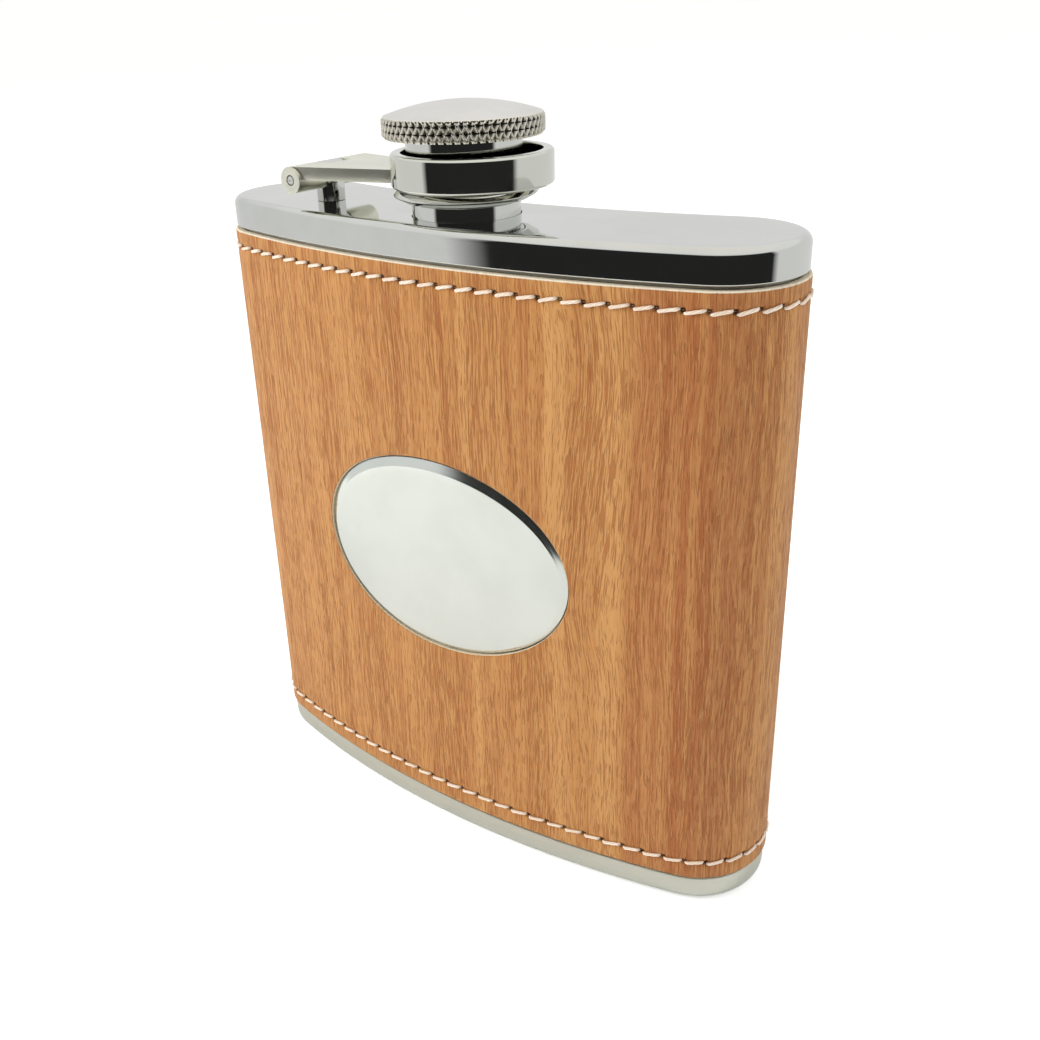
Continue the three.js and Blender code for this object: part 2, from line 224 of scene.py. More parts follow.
def capped(rings):
    """A closed skin: strips of quads with a flat face on the first and the last ring."""
    count = len(rings[0])
    last = (len(rings) - 1) * count
    return strips(rings) + [tuple(range(count))[::-1], tuple(range(last, last + count))]


def round_angles(steps):
    return np.linspace(0, 2 * math.pi, steps, endpoint=False)


def turned(steps):
    """Angles, and a function giving rings of so many points about the upright axis."""
    angles = round_angles(steps)

    def ring(radius, z):
        radius = np.broadcast_to(radius, (steps,))
        return np.column_stack([radius * np.cos(angles), radius * np.sin(angles), np.full(steps, z)])

    return angles, ring


def quarter(inset, z, radius, side, steps):
    """Sections of a quarter round: side 1 for a top edge, -1 for a bottom edge."""
    out = []
    for i in range(steps + 1):
        angle = math.pi / 2 * i / steps
        out.append((inset + radius * (1 - math.cos(angle)), z - side * radius * (1 - math.sin(angle))))
    return out if side > 0 else out[::-1]


def lathe(profile, steps, x=0.0):
    """Points and faces of a turned closed profile of (radius, z), listed anticlockwise in r-z."""
    angles = round_angles(steps)
    points = []
    index = []
    for radius, z in profile:
        if radius < 1e-6:
            index.append([len(points)] * steps)
            points.append((x, 0.0, z))
            continue
        index.append(list(range(len(points), len(points) + steps)))
        points.extend((x + radius * math.cos(a), radius * math.sin(a), z) for a in angles)
    faces = []
    for row in range(len(profile)):
        low = index[row]
        high = index[(row + 1) % len(profile)]
        if low[0] == low[1] and high[0] == high[1]:
            continue
        for i in range(steps):
            j = (i + 1) % steps
            face = [low[i], low[j], high[j], high[i]]
            face = [v for k, v in enumerate(face) if v != face[k - 1]]
            faces.append(tuple(face))
    return np.array(points), faces


def rounded(profile, radius):
    """A profile with its corners rounded, apart from those on the axis."""
    out = []
    steps, count = 3, len(profile)
    for i, (r, z) in enumerate(profile):
        here = np.array([r, z])
        before = np.array(profile[i - 1])
        after = np.array(profile[(i + 1) % count])
        if r < 1e-6:
            out.append((r, z))
            continue
        to_before = before - here
        to_after = after - here
        cut = min(radius, np.linalg.norm(to_before) * 0.45, np.linalg.norm(to_after) * 0.45)
        start = here + to_before / np.linalg.norm(to_before) * cut
        stop = here + to_after / np.linalg.norm(to_after) * cut
        for k in range(steps + 1):
            t = k / steps
            point = start * (1 - t) ** 2 + here * 2 * t * (1 - t) + stop * t ** 2
            out.append((float(point[0]), float(point[1])))
    return out


def smoothstep(value, low, high):
    t = np.clip((value - low) / (high - low), 0, 1)
    return t * t * (3 - 2 * t)


# ---- Materials

class Shade:
    """A node material with a Principled shader, built up a node at a time."""

    def __init__(self, name, metallic=0.0, specular=0.5, sheen=0.0):
        self.material = bpy.data.materials.new(name)
        self.material.use_nodes = True
        self.tree = self.material.node_tree
        self.shader = self.tree.nodes["Principled BSDF"]
        levels = {"Metallic": metallic, "Specular IOR Level": specular, "Sheen Weight": sheen}
        for key, value in levels.items():
            self.shader.inputs[key].default_value = value

    def node(self, kind, inputs=None, **settings):
        node = self.tree.nodes.new(kind)
        for key, value in settings.items():
            setattr(node, key, value)
        for key, value in (inputs or {}).items():
            self.feed(node.inputs[key], value)
        return node

    def feed(self, socket, value):
        if isinstance(value, bpy.types.NodeSocket):
            self.tree.links.new(value, socket)
        else:
            socket.default_value = value

    def place(self):
        return self.node("ShaderNodeTexCoord").outputs["Object"]

    def stored(self, name):
        return self.node("ShaderNodeAttribute", attribute_name=name)

    def scaled(self, vector, scale, offset=(0, 0, 0)):
        inputs = {"Vector": vector, "Scale": scale, "Location": offset}
        return self.node("ShaderNodeMapping", inputs).outputs["Vector"]

    def noise(self, vector, scale, detail, rough):
        inputs = {"Vector": vector, "Scale": scale, "Detail": detail, "Roughness": rough}
        return self.node("ShaderNodeTexNoise", inputs).outputs["Fac"]

    def math(self, operation, a, b=0.0):
        return self.node("ShaderNodeMath", {0: a, 1: b}, operation=operation).outputs[0]

    def times(self, a, b):
        return self.math("MULTIPLY", a, b)

    def plus(self, a, b):
        return self.math("ADD", a, b)

    def minus(self, a, b):
        return self.math("SUBTRACT", a, b)

    def vector(self, operation, a, b=(0.0, 0.0, 0.0)):
        return self.node("ShaderNodeVectorMath", {0: a, 1: b}, operation=operation)

    def axes(self, vector):
        return self.node("ShaderNodeSeparateXYZ", {"Vector": vector}).outputs

    def remap(self, value, low, high, to_low=0.0, to_high=1.0):
        inputs = {"Value": value, "From Min": low, "From Max": high, "To Min": to_low, "To Max": to_high}
        return self.node("ShaderNodeMapRange", inputs, interpolation_type="SMOOTHSTEP").outputs["Result"]

    def mix(self, factor, a, b):
        a, b = ((*colour, 1) if isinstance(colour, tuple) else colour for colour in (a, b))
        inputs = {"Factor": factor, "A": a, "B": b}
        return self.node("ShaderNodeMix", inputs, data_type="RGBA").outputs["Result"]

    def bump(self, height, distance, strength=1.0, normal=None):
        inputs = {"Height": height, "Distance": distance, "Strength": strength}
        if normal is not None:
            inputs["Normal"] = normal
        return self.node("ShaderNodeBump", inputs).outputs["Normal"]

    def finish(self, colour, roughness, normal=None):
        self.feed(self.shader.inputs["Base Color"], colour)
        self.feed(self.shader.inputs["Roughness"], roughness)
        if normal is not None:
            self.feed(self.shader.inputs["Normal"], normal)
        return self.material


def polished_steel(name, colour=(0.66, 0.67, 0.64), rough=(0.03, 0.075), wave=0.000012):
    """Buffed stainless steel: faint cloudy smears, hairline scratches and a slightly uneven face."""
    s = Shade(name, metallic=1.0)
    p = s.place()
    cloud = s.noise(p, 90.0, 4.0, 0.6)
    hair = s.noise(s.scaled(p, (6000.0, 500.0, 900.0)), 1.0, 2.0, 0.6)
    hair = s.remap(hair, 0.62, 0.78)
    tint = s.mix(s.remap(cloud, 0.35, 0.7), colour, tuple(c * 0.94 for c in colour))
    tint = s.mix(s.times(hair, 0.12), tint, tuple(min(1.0, c * 1.1) for c in colour))
    gloss = s.remap(cloud, 0.3, 0.75, *rough)
    gloss = s.plus(gloss, s.times(hair, 0.05))
    soft = s.bump(s.noise(p, 45.0, 1.0, 0.4), wave, 1.0)
    return s.finish(tint, gloss, s.bump(hair, 0.0000006, 0.5, soft))


def brushed_steel(name):
    """Satin steel brushed level round the piece."""
    colour = (0.66, 0.68, 0.61)
    s = Shade(name, metallic=1.0)
    p = s.place()
    lines = s.noise(s.scaled(p, (260.0, 260.0, 14000.0)), 1.0, 3.0, 0.65)
    cloud = s.noise(p, 60.0, 3.0, 0.55)
    tint = s.mix(s.remap(lines, 0.3, 0.7), tuple(c * 0.9 for c in colour), colour)
    tint = s.mix(s.remap(cloud, 0.45, 0.8, 0.0, 0.5), tint, tuple(c * 0.86 for c in colour))
    return s.finish(tint, s.remap(lines, 0.25, 0.75, 0.26, 0.42), s.bump(lines, 0.000004, 0.8))


def gap_shaded_steel(name):
    """The tank under the wrap: plain mill finish, tinted darker than the other steel as painted shade for
    the gaps where it shows.
    """
    s = Shade(name, metallic=1.0)
    p = s.place()
    stain = s.noise(p, 260.0, 4.0, 0.6)
    # Painted shade: both tones sit well below the other steel's, to darken the gaps the shell shows
    # through.
    tint = s.mix(s.remap(stain, 0.3, 0.7), (0.42, 0.42, 0.39), (0.50, 0.50, 0.47))
    return s.finish(tint, s.remap(stain, 0.2, 0.8, 0.38, 0.5), s.bump(stain, 0.000004, 0.5))


def satin_nickel(name):
    """Plated cap: a softly blasted dome over a sharper, warmer rim, with painted shade in the knurl pits.
    """
    s = Shade(name, metallic=1.0)
    p = s.place()
    z = s.axes(p)["Z"]
    dome = s.remap(z, 0.10985, 0.11005)
    grain = s.noise(p, 6500.0, 2.0, 0.6)
    cloud = s.noise(p, 130.0, 3.0, 0.5)
    tint = s.mix(s.remap(cloud, 0.3, 0.75), (0.74, 0.73, 0.70), (0.68, 0.67, 0.64))
    # Painted shade: the knurl pits are tinted near-black over the rim's colour.
    rim_tint_with_pit_shade = s.mix(s.stored("pit").outputs["Fac"], (0.80, 0.76, 0.66), (0.045, 0.042, 0.032))
    tint = s.mix(dome, rim_tint_with_pit_shade, tint)
    satin = s.plus(s.remap(cloud, 0.3, 0.7, 0.24, 0.31), s.times(grain, 0.06))
    cut = s.remap(cloud, 0.3, 0.7, 0.08, 0.14)
    gloss = s.node("ShaderNodeMix", {"Factor": dome, "A": cut, "B": satin}, data_type="FLOAT")
    return s.finish(tint, gloss.outputs["Result"], s.bump(grain, 0.000003, 0.5))


def arm_steel(name, ring_x, ring_y, ring_radius):
    """The arm: polished round the ring, satin on the plate and the barrel."""
    s = Shade(name, metallic=1.0)
    p = s.place()
    flat = s.vector("SUBTRACT", p, (ring_x, ring_y, 0.0)).outputs["Vector"]
    across = s.vector("MULTIPLY", flat, (1.0, 1.0, 0.0)).outputs["Vector"]
    away = s.vector("LENGTH", across).outputs["Value"]
    plate = s.remap(away, ring_radius + 0.00004, ring_radius + 0.0004)
    cloud = s.noise(p, 160.0, 3.0, 0.55)
    grain = s.noise(p, 5000.0, 2.0, 0.6)
    tint = s.mix(plate, (0.66, 0.67, 0.615), (0.80, 0.80, 0.68))
    tint = s.mix(s.remap(cloud, 0.4, 0.75, 0.0, 0.3), tint, (0.62, 0.62, 0.54))
    rough = s.plus(s.remap(cloud, 0.3, 0.7, 0.035, 0.075), s.times(plate, 0.24))
    return s.finish(tint, rough, s.bump(grain, 0.000002, 0.4))


def cream_cloth(name):
    """Backing cloth: a plain weave, dusty cream."""
    s = Shade(name, sheen=0.2)
    p = s.place()
    warp, weft = (s.math("SINE", s.times(s.axes(p)[axis], 14000.0)) for axis in "XZ")
    weave = s.times(warp, weft)
    fuzz = s.noise(p, 3000.0, 3.0, 0.6)
    tint = s.mix(s.remap(fuzz, 0.3, 0.7), (0.66, 0.55, 0.38), (0.82, 0.72, 0.54))
    tint = s.mix(s.remap(weave, -1.0, 1.0, 0.0, 0.25), tint, (0.55, 0.45, 0.3))
    height = s.plus(weave, fuzz)
    return s.finish(tint, s.remap(fuzz, 0.2, 0.8, 0.75, 0.95), s.bump(height, 0.00004, 0.8))


def waxed_thread(name):
    """Twisted thread: fine fibres across the strands and painted shade in the grooves between them."""
    s = Shade(name, sheen=0.3)
    p = s.place()
    fibre = s.noise(p, 9000.0, 2.0, 0.6)
    tone = s.noise(p, 220.0, 2.0, 0.5)
    ply = s.stored("ply").outputs["Fac"]
    tint = s.mix(s.remap(tone, 0.3, 0.7), (0.74, 0.61, 0.49), (0.80, 0.69, 0.58))
    # Painted shade: darker between the strands, where ply is low.
    tint = s.mix(s.remap(ply, 0.0, 0.6, 0.55, 0.0), tint, (0.42, 0.28, 0.17))
    return s.finish(tint, s.remap(fibre, 0.2, 0.8, 0.55, 0.8), s.bump(fibre, 0.00002, 0.6))


def wood_grain(name):
    """Coated cloth printed and embossed as light wood: broad bands, streaks and short pores, with painted
    highlights on the ridges, a painted sheen on the left and painted shade in the needle holes.
    """
    s = Shade(name, specular=0.35)
    flat = s.stored("grain").outputs["Vector"]
    split = s.axes(flat)
    u, z = split["X"], split["Y"]
    # The grain leans in a patch right of the middle and wanders a little everywhere.
    side = s.remap(s.math("ABSOLUTE", s.minus(u, 28.0)), 5.0, 13.0, 1.0, 0.0)
    tall = s.remap(s.math("ABSOLUTE", s.minus(z, 64.0)), 12.0, 32.0, 1.0, 0.0)
    lean = s.times(s.times(side, tall), 0.08)
    slant = s.times(lean, s.minus(z, 64.0))
    wander = s.noise(s.scaled(flat, (0.09, 0.03, 1.0)), 1.0, 2.0, 0.5)
    wander = s.times(s.minus(wander, 0.5), 2.4)
    bent = s.plus(s.minus(u, slant), wander)
    run = s.node("ShaderNodeCombineXYZ", {"X": bent, "Y": z}).outputs["Vector"]

    def layer(across, along, detail, rough, shift_x=0.0, shift_y=0.0):
        spread = s.scaled(run, (across, along, 1.0), (shift_x, shift_y, 0.0))
        return s.noise(spread, 1.0, detail, rough)

    broad = layer(0.16, 0.004, 2.0, 0.5)
    band = layer(0.75, 0.008, 3.0, 0.6, 17.0)
    streak = layer(3.0, 0.03, 4.0, 0.65, 3.0, 7.0)
    fine = layer(9.0, 0.22, 3.0, 0.65, 31.0, 3.0)
    pore_a = layer(4.4, 0.17, 2.0, 0.55, 5.0, 11.0)
    pore_b = layer(6.4, 0.36, 1.5, 0.5, 45.0, 23.0)
    where = layer(0.3, 0.02, 2.0, 0.5, 9.0, 5.0)
    edge = s.remap(where, 0.32, 0.68, 0.64, 0.50)
    pores = s.remap(s.minus(pore_a, edge), 0.0, 0.06)
    small = s.remap(pore_b, 0.58, 0.64)
    pores = s.math("MAXIMUM", pores, s.times(small, 0.7))
    ridge = s.remap(pore_a, 0.38, 0.30)

    # A redder plank starts right of the middle and pales again round the end.
    edge_line = s.plus(u, s.times(s.minus(band, 0.5), 2.0))
    red = s.times(s.remap(edge_line, 31.2, 32.8), s.remap(edge_line, 50.0, 46.0))
    # Painted sheen: the tint is lighter left of the middle and fades out towards the right.
    left_sheen_fade = s.times(s.remap(edge_line, -14.0, 6.0), 0.45)
    tint = s.mix(left_sheen_fade, (0.444, 0.196, 0.053), (0.402, 0.160, 0.038))
    tint = s.mix(red, tint, (0.348, 0.110, 0.026))
    for value, low, high, strength, colour in (
        (broad, 0.36, 0.64, 0.35, (0.505, 0.246, 0.078)),
        (band, 0.42, 0.62, 0.45, (0.520, 0.259, 0.080)),
        (band, 0.48, 0.34, 0.50, (0.321, 0.103, 0.021)),
        (streak, 0.50, 0.36, 0.72, (0.306, 0.096, 0.020)),
        (fine, 0.48, 0.68, 0.45, (0.566, 0.306, 0.106)),
    ):
        tint = s.mix(s.remap(value, low, high, 0.0, strength), tint, colour)
    # Painted highlight: the raised ridges between the pores are tinted lighter.
    tint = s.mix(s.times(ridge, 0.45), tint, (0.597, 0.333, 0.122))
    for at_u, wide, strength in ((7.0, 0.8, 0.45), (21.5, 1.4, 0.40), (29.4, 1.5, 0.50)):
        off = s.math("ABSOLUTE", s.minus(edge_line, at_u))
        tint = s.mix(s.remap(off, wide * 1.6, wide * 0.5, 0.0, strength), tint, (0.590, 0.310, 0.105))
    tint = s.mix(s.times(pores, 0.66), tint, (0.310, 0.088, 0.016))
    rim = s.remap(z, wrap_high[2] - 0.24, wrap_high[2] - 0.12)
    tint = s.mix(rim, tint, (0.80, 0.72, 0.58))

    # Painted shade: the needle holes are tinted near-black.
    hole = s.stored("hole").outputs["Fac"]
    tint = s.mix(hole, tint, (0.008, 0.006, 0.005))
    height = s.minus(s.times(fine, 0.35), pores)
    height = s.plus(height, s.times(ridge, 0.35))
    skin = s.noise(s.place(), 5200.0, 2.0, 0.5)
    height = s.plus(height, s.times(skin, 0.12))
    rough = s.remap(fine, 0.3, 0.7, 0.44, 0.56)
    rough = s.plus(rough, s.times(pores, 0.15))
    return s.finish(tint, rough, s.bump(height, 0.00009, 1.0))


def plain(name, scale, dark, light, rough, depth):
    """A hidden soft piece: fine grain in colour, gloss and height."""
    s = Shade(name)
    grain = s.noise(s.place(), scale, 3.0, 0.6)
    tint = s.mix(s.remap(grain, 0.3, 0.7), dark, light)
    return s.finish(tint, s.remap(grain, 0.2, 0.8, *rough), s.bump(grain, *depth))


STEEL = polished_steel("polished_steel")
OVAL_STEEL = polished_steel("oval_steel", (0.73, 0.765, 0.725), (0.09, 0.15), 0.000006)
BRUSHED = brushed_steel("brushed_steel")
NICKEL = satin_nickel("satin_nickel")
CLOTH = cream_cloth("backing_cloth")
THREAD = waxed_thread("waxed_thread")
WOOD = wood_grain("wood_grain_wrap")
RUBBER = plain("seal_rubber", 4000.0, (0.012, 0.012, 0.013), (0.03, 0.03, 0.032),
               (0.55, 0.75), (0.00001, 0.5))
TAPE = plain("foam_tape", 3500.0, (0.5, 0.49, 0.45), (0.64, 0.62, 0.57),
             (0.6, 0.85), (0.00003, 0.6))
SHELL_STEEL = gap_shaded_steel("gap_shaded_shell_steel")


def repaint(node, material):
    """A CAD node that stays as it is, with a finished material."""
    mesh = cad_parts[node].data
    mesh.materials.clear()
    mesh.materials.append(material)


repaint("body_shell", SHELL_STEEL)
repaint("oval_plate_tape", TAPE)
repaint("cap_seal", RUBBER)

# ---- Lid and base

fine_trace = Trace(160, 72, 160)


def lid():
    inset = 0.31
    inner = inset + DISH_WALL
    bottom, top = lid_low[2], lid_high[2]
    ceiling = top - DISH_WALL
    lip = 0.14
    t = fine_trace
    sections = [(inner, bottom + 0.3), (inner, bottom + lip), (inner - 0.06, bottom + 0.03),
                (inner - lip, bottom), (inset + lip, bottom), (inset + 0.05, bottom + 0.03),
                (inset, bottom + lip), (inset, bottom + lip + 0.05),
                (inset, bottom + lip + 0.1), (inset, bottom + 0.6)]
    sections += quarter(inset, top, 1.25, 1, 14)
    sections += [(inset + 1.8, top), (inset + 2.3, top)]
    rings = [t.ring(a, z) for a, z in sections]
    under = [t.ring(a, z) for a, z in quarter(inner, ceiling, 1.0, 1, 6)][::-1]
    angle = np.arctan2(rings[-1][:, 1], rings[-1][:, 0])
    hole = 7.6

    def circle(radius, z):
        return np.column_stack([radius * np.cos(angle), radius * np.sin(angle), np.full(t.count, z)])

    rim = circle(hole + 0.25, top)
    rings += [rings[-1] * (1 - k) + rim * k for k in (0.2, 0.4, 0.6, 0.8, 1.0)]
    rings += [circle(hole + 0.05, top - 0.03), circle(hole, top - 0.12), circle(hole, ceiling)]
    rings += under + [t.ring(inner, bottom + 1.2)]
    faces = strips(rings, True)
    make("lid_dish", np.vstack(rings), faces, "flask", "lid_plate", "polished_steel", [STEEL], 50)


def base():
    inset = 0.35
    inner = inset + DISH_WALL
    lip = base_high[2]
    t = fine_trace
    rim = inset + 3.4
    sections = [(rim + 0.8, 0.62), (rim + 0.6, 0.6), (rim + 0.42, 0.5), (rim + 0.12, 0.08), (rim, 0.0)]
    sections += quarter(inset, 0.0, 1.9, -1, 14)
    sections += [(inset, lip - 0.14), (inset + 0.05, lip - 0.03), (inset + 0.14, lip),
                 (inner - 0.14, lip), (inner - 0.04, lip - 0.04), (inner, lip - 0.14)]
    sections += [(inner, 2.0), (inner + 0.15, 1.65), (inner + 0.5, 1.5)]
    rings = [t.ring(a, z) for a, z in sections]
    make("base_dish", np.vstack(rings), capped(rings), "flask", "base_plate", "brushed_steel",
         [BRUSHED], 50)


lid()
base()

# ---- Wrap

FINE = 4
wrap_coarse = Trace(112, 48, 112, seam=0.3)
wrap_fine = Trace(112 * FINE, 48 * FINE, 112 * FINE, seam=0.3)
UPPER_Z = (upper_low[2] + upper_high[2]) / 2
LOWER_Z = (lower_low[2] + lower_high[2]) / 2
FRONT_U = wrap_coarse.length / 2

stitch_count = round(wrap_fine.length / STITCH_PITCH) - 1
stitch_step = (wrap_fine.length - 2 * SEAM_TO_HOLE) / stitch_count
rng = np.random.default_rng(61)


def needle_holes(row, rise):
    """Positions (u, z) of the needle holes of one row, with small hand-guided differences."""
    count, sideways, upwards = stitch_count + 1, 0.05, 0.035
    u = SEAM_TO_HOLE + stitch_step * np.arange(count) + rng.normal(0, sideways, count)
    z = row + rise + rng.normal(0, upwards, count)
    return np.column_stack([u, z])


upper_holes = needle_holes(UPPER_Z, 0.10)
lower_holes = needle_holes(LOWER_Z, 0.05)


def pucker(u, z, holes, row):
    """Depth pressed into the wrap by a row of stitches, and the weight of the painted shade in its needle
    holes.
    """
    hole_wide, hole_tall, hole_deep = 0.38, 0.32, 0.36
    channel_tall, channel_deep, channel_wave = 0.55, 0.13, 0.05
    swell_away, swell_tall, swell_high = 1.15, 0.5, 0.012
    index = np.clip(np.rint((u - SEAM_TO_HOLE) / stitch_step).astype(int), 0, stitch_count)
    du = u - holes[index, 0]
    dz = z - holes[index, 1]
    near = np.exp(-(du / hole_wide) ** 4 - (dz / hole_tall) ** 4)
    channel = np.exp(-((z - row) / channel_tall) ** 2)
    swell = np.exp(-((np.abs(z - row) - swell_away) / swell_tall) ** 2)
    between = 0.5 - 0.5 * np.cos(2 * math.pi * du / stitch_step)
    depth = hole_deep * near + channel * (channel_deep + channel_wave * (1 - between))
    depth = depth - swell_high * swell
    return depth, np.clip(near * 1.9 - 0.45, 0, 1)


def wrap_rows():
    low, high = wrap_low[2], wrap_high[2]
    lower_band = [low, low + 0.05, low + 0.13, low + 0.28] + list(np.arange(low + 0.6, FINE_LOW, FINE_ROW))
    upper_band = list(np.arange(FINE_HIGH, high - 0.35, FINE_ROW))
    upper_band += [high - 0.28, high - 0.13, high - 0.05, high]
    middle = list(np.linspace(FINE_LOW + 0.4, FINE_HIGH - 0.4, 66))
    return lower_band, middle, upper_band


def edge_roll(z):
    """Inset of the outer face where the cut edges round over."""
    low, high = wrap_low[2], wrap_high[2]
    depth, reach = 0.16, 0.28
    near = np.minimum(z - low, high - z)
    return depth * np.clip(1 - near / reach, 0, 1) ** 2


def nearest(values, target):
    return int(np.argmin(np.abs(np.asarray(values) - target)))


def front_point(angle, z, inset):
    radius = front_radius - inset
    return np.stack([radius * np.sin(angle), front_centre - radius * np.cos(angle), z], -1)


def window_sheet(rows, first_column, last_column, j0, j1, trace, inset_at, ellipse_grow, rings_count):
    """Rings from the rectangular gap in the grid to the oval window's edge."""
    angle = trace.angle
    left, right = angle[first_column], angle[last_column]
    nodes = [(angle[i], rows[j0]) for i in range(first_column, last_column)]
    nodes += [(right, rows[j]) for j in range(j0, j1)]
    nodes += [(angle[i], rows[j1]) for i in range(last_column, first_column, -1)]
    nodes += [(left, rows[j]) for j in range(j1, j0, -1)]
    nodes = np.array(nodes)
    radius = front_radius
    centre = math.asin(WINDOW_X / radius)
    turn = np.arctan2((nodes[:, 1] - WINDOW_Z) / (rows[j1] - rows[j0]),
                      (nodes[:, 0] - centre) / (right - left))
    # Even spacing along the oval, starting from the direction of the first node.
    dense = np.linspace(turn[0], turn[0] + 2 * math.pi, 4001)
    a, b = WINDOW_A + ellipse_grow, WINDOW_B + ellipse_grow
    xy = np.column_stack([a * np.cos(dense), b * np.sin(dense)])
    length = np.concatenate([[0], np.cumsum(np.linalg.norm(np.diff(xy, axis=0), axis=1))])
    even = np.interp(np.linspace(0, length[-1], len(nodes), endpoint=False), length, dense)
    even = 0.5 * even + 0.5 * np.unwrap(turn)
    oval = np.column_stack([
        np.arcsin((WINDOW_X + a * np.cos(even)) / (radius - inset_at)),
        WINDOW_Z + b * np.sin(even),
    ])
    steps = 1 - (1 - np.linspace(0, 1, rings_count + 1)[1:]) ** 2.2
    return [nodes * (1 - t) + oval * t for t in steps]


def wrap_piece(name, node, slot, outer, inner, materials, detailed):
    """One layer of the wrap as a closed sheet with its window, cut edges and back joint."""
    coarse, fine = wrap_coarse, wrap_fine
    lower_band, middle, upper_band = wrap_rows()
    if not detailed:
        fine = coarse
        lower_band, upper_band = [wrap_low[2], INNER_LOW], [INNER_HIGH, wrap_high[2]]
    points, faces, kinds, grain, holes = [], [], [], [], []
    total = 0

    def add(ring, u, z, hole=None):
        nonlocal total
        points.append(ring)
        grain.append(np.column_stack([u - FRONT_U, np.broadcast_to(z, u.shape), np.zeros(len(u))]))
        holes.append(np.zeros(len(u)) if hole is None else hole)
        total += len(ring)
        return total - len(ring)

    def face(kind, corners):
        faces.append(tuple(corners))
        kinds.append(kind)

    def band(trace, rows):
        starts = []
        for z in rows:
            if detailed:
                # pucker also gives the weight of the painted shade in the needle holes.
                d1, h1 = pucker(trace.u, np.full(trace.count, z), upper_holes, UPPER_Z)
                d2, h2 = pucker(trace.u, np.full(trace.count, z), lower_holes, LOWER_Z)
                inset = outer + d1 + d2 + edge_roll(z)
                starts.append(add(trace.ring(inset, z), trace.u, z, np.maximum(h1, h2)))
            else:
                starts.append(add(trace.ring(outer, z), trace.u, z))
        return starts

    def join(low, high, count, skip=None):
        for i in range(count - 1):
            if skip is None or not skip[0] <= i < skip[1]:
                face(0, (low + i, low + i + 1, high + i + 1, high + i))

    def fan(many, few, upward, kind=0):
        """Joins a row of the fine trace to one of the coarse trace."""
        for i in range(coarse.count - 1):
            dense = [many + i * ratio + k for k in range(ratio + 1)]
            if upward:
                face(kind, dense + [few + i + 1, few + i])
            else:
                face(kind, [few + i, few + i + 1] + dense[::-1])

    ratio = FINE if detailed else 1
    # The grid leaves out rows j0 to j1 and columns c0 to c1, where the window's own sheet goes.
    above, aside = WINDOW_B + 2.0, WINDOW_A + 2.2
    front = np.where((np.abs(coarse.angle) < FRONT_HALF) & (coarse.side > 0))[0]
    front_x = coarse.ring(0, 0)[front, 0]
    j0, j1 = (nearest(middle, WINDOW_Z + side * above) for side in (-1, 1))
    c0, c1 = (int(front[nearest(front_x, WINDOW_X + side * aside)]) for side in (-1, 1))

    low_starts = band(fine, lower_band)
    mid_starts = band(coarse, middle)
    top_starts = band(fine, upper_band)
    for a, b in zip(low_starts, low_starts[1:]):
        join(a, b, fine.count)
    fan(low_starts[-1], mid_starts[0], True)
    for j, (a, b) in enumerate(zip(mid_starts, mid_starts[1:])):
        join(a, b, coarse.count, skip=(c0, c1) if j0 <= j < j1 else None)
    fan(top_starts[0], mid_starts[-1], False)
    for a, b in zip(top_starts, top_starts[1:]):
        join(a, b, fine.count)

    inner_rows = [wrap_low[2], INNER_LOW] + middle + [INNER_HIGH, wrap_high[2]]
    in_starts = [add(coarse.ring(inner, z), coarse.u, z) for z in inner_rows]
    for j, (a, b) in enumerate(zip(in_starts, in_starts[1:])):
        gap = (c0, c1) if j0 + 2 <= j < j1 + 2 else None
        for i in range(coarse.count - 1):
            if gap is None or not gap[0] <= i < gap[1]:
                face(0, (a + i, b + i, b + i + 1, a + i + 1))

    # Cut edges along the top and the bottom.
    fan(top_starts[-1], in_starts[-1], True, 1)
    fan(low_starts[0], in_starts[0], False, 1)

    # Cut edges at the back joint.
    outer_starts = low_starts + mid_starts + top_starts
    counts = [fine.count] * len(low_starts) + [coarse.count] * len(mid_starts)
    counts += [fine.count] * len(top_starts)
    face(1, in_starts + outer_starts[::-1])
    right_out = [s + c - 1 for s, c in zip(outer_starts, counts)]
    right_in = [s + coarse.count - 1 for s in in_starts]
    face(1, right_out + right_in[::-1])

    # The window.
    def boundary(starts, shift):
        out = [starts[j0 + shift] + i for i in range(c0, c1)]
        out += [starts[j + shift] + c1 for j in range(j0, j1)]
        out += [starts[j1 + shift] + i for i in range(c1, c0, -1)]
        out += [starts[j + shift] + c0 for j in range(j1, j0, -1)]
        return out

    def loop_at(nodes, inset):
        u = FRONT_U + nodes[:, 0] * front_radius
        start = add(front_point(nodes[:, 0], nodes[:, 1], inset), u, nodes[:, 1])
        return list(range(start, start + len(nodes)))

    def sheet(inset, grow, count):
        return window_sheet(middle, c0, c1, j0, j1, coarse, inset, grow, count)

    def sleeve(low, high, kind):
        for i in range(len(low)):
            k = (i + 1) % len(low)
            face(kind, (low[i], low[k], high[k], high[i]))
        return high

    in_loop = boundary(in_starts, 2)
    previous = boundary(mid_starts, 0)
    for nodes in sheet(outer, 0.24, 9):
        previous = sleeve(previous, loop_at(nodes, outer), 0)
    rolled = [(0.13, 0.03), (0.05, 0.09), (0.0, 0.19)] if detailed else [(0.0, 0.02)]
    for grow, drop in rolled:
        nodes = sheet(outer + drop, grow, 1)[0]
        previous = sleeve(previous, loop_at(nodes, outer + drop), 0 if grow > 0.04 else 1)
    nodes = sheet(inner, 0.0, 1)[0]
    previous = sleeve(previous, loop_at(nodes, inner), 1)
    sleeve(previous, in_loop, 0)

    make(name, np.vstack(points), faces, "flask", node, slot, materials, 60, kinds,
         {"hole": np.concatenate(holes)}, {"grain": np.vstack(grain)})


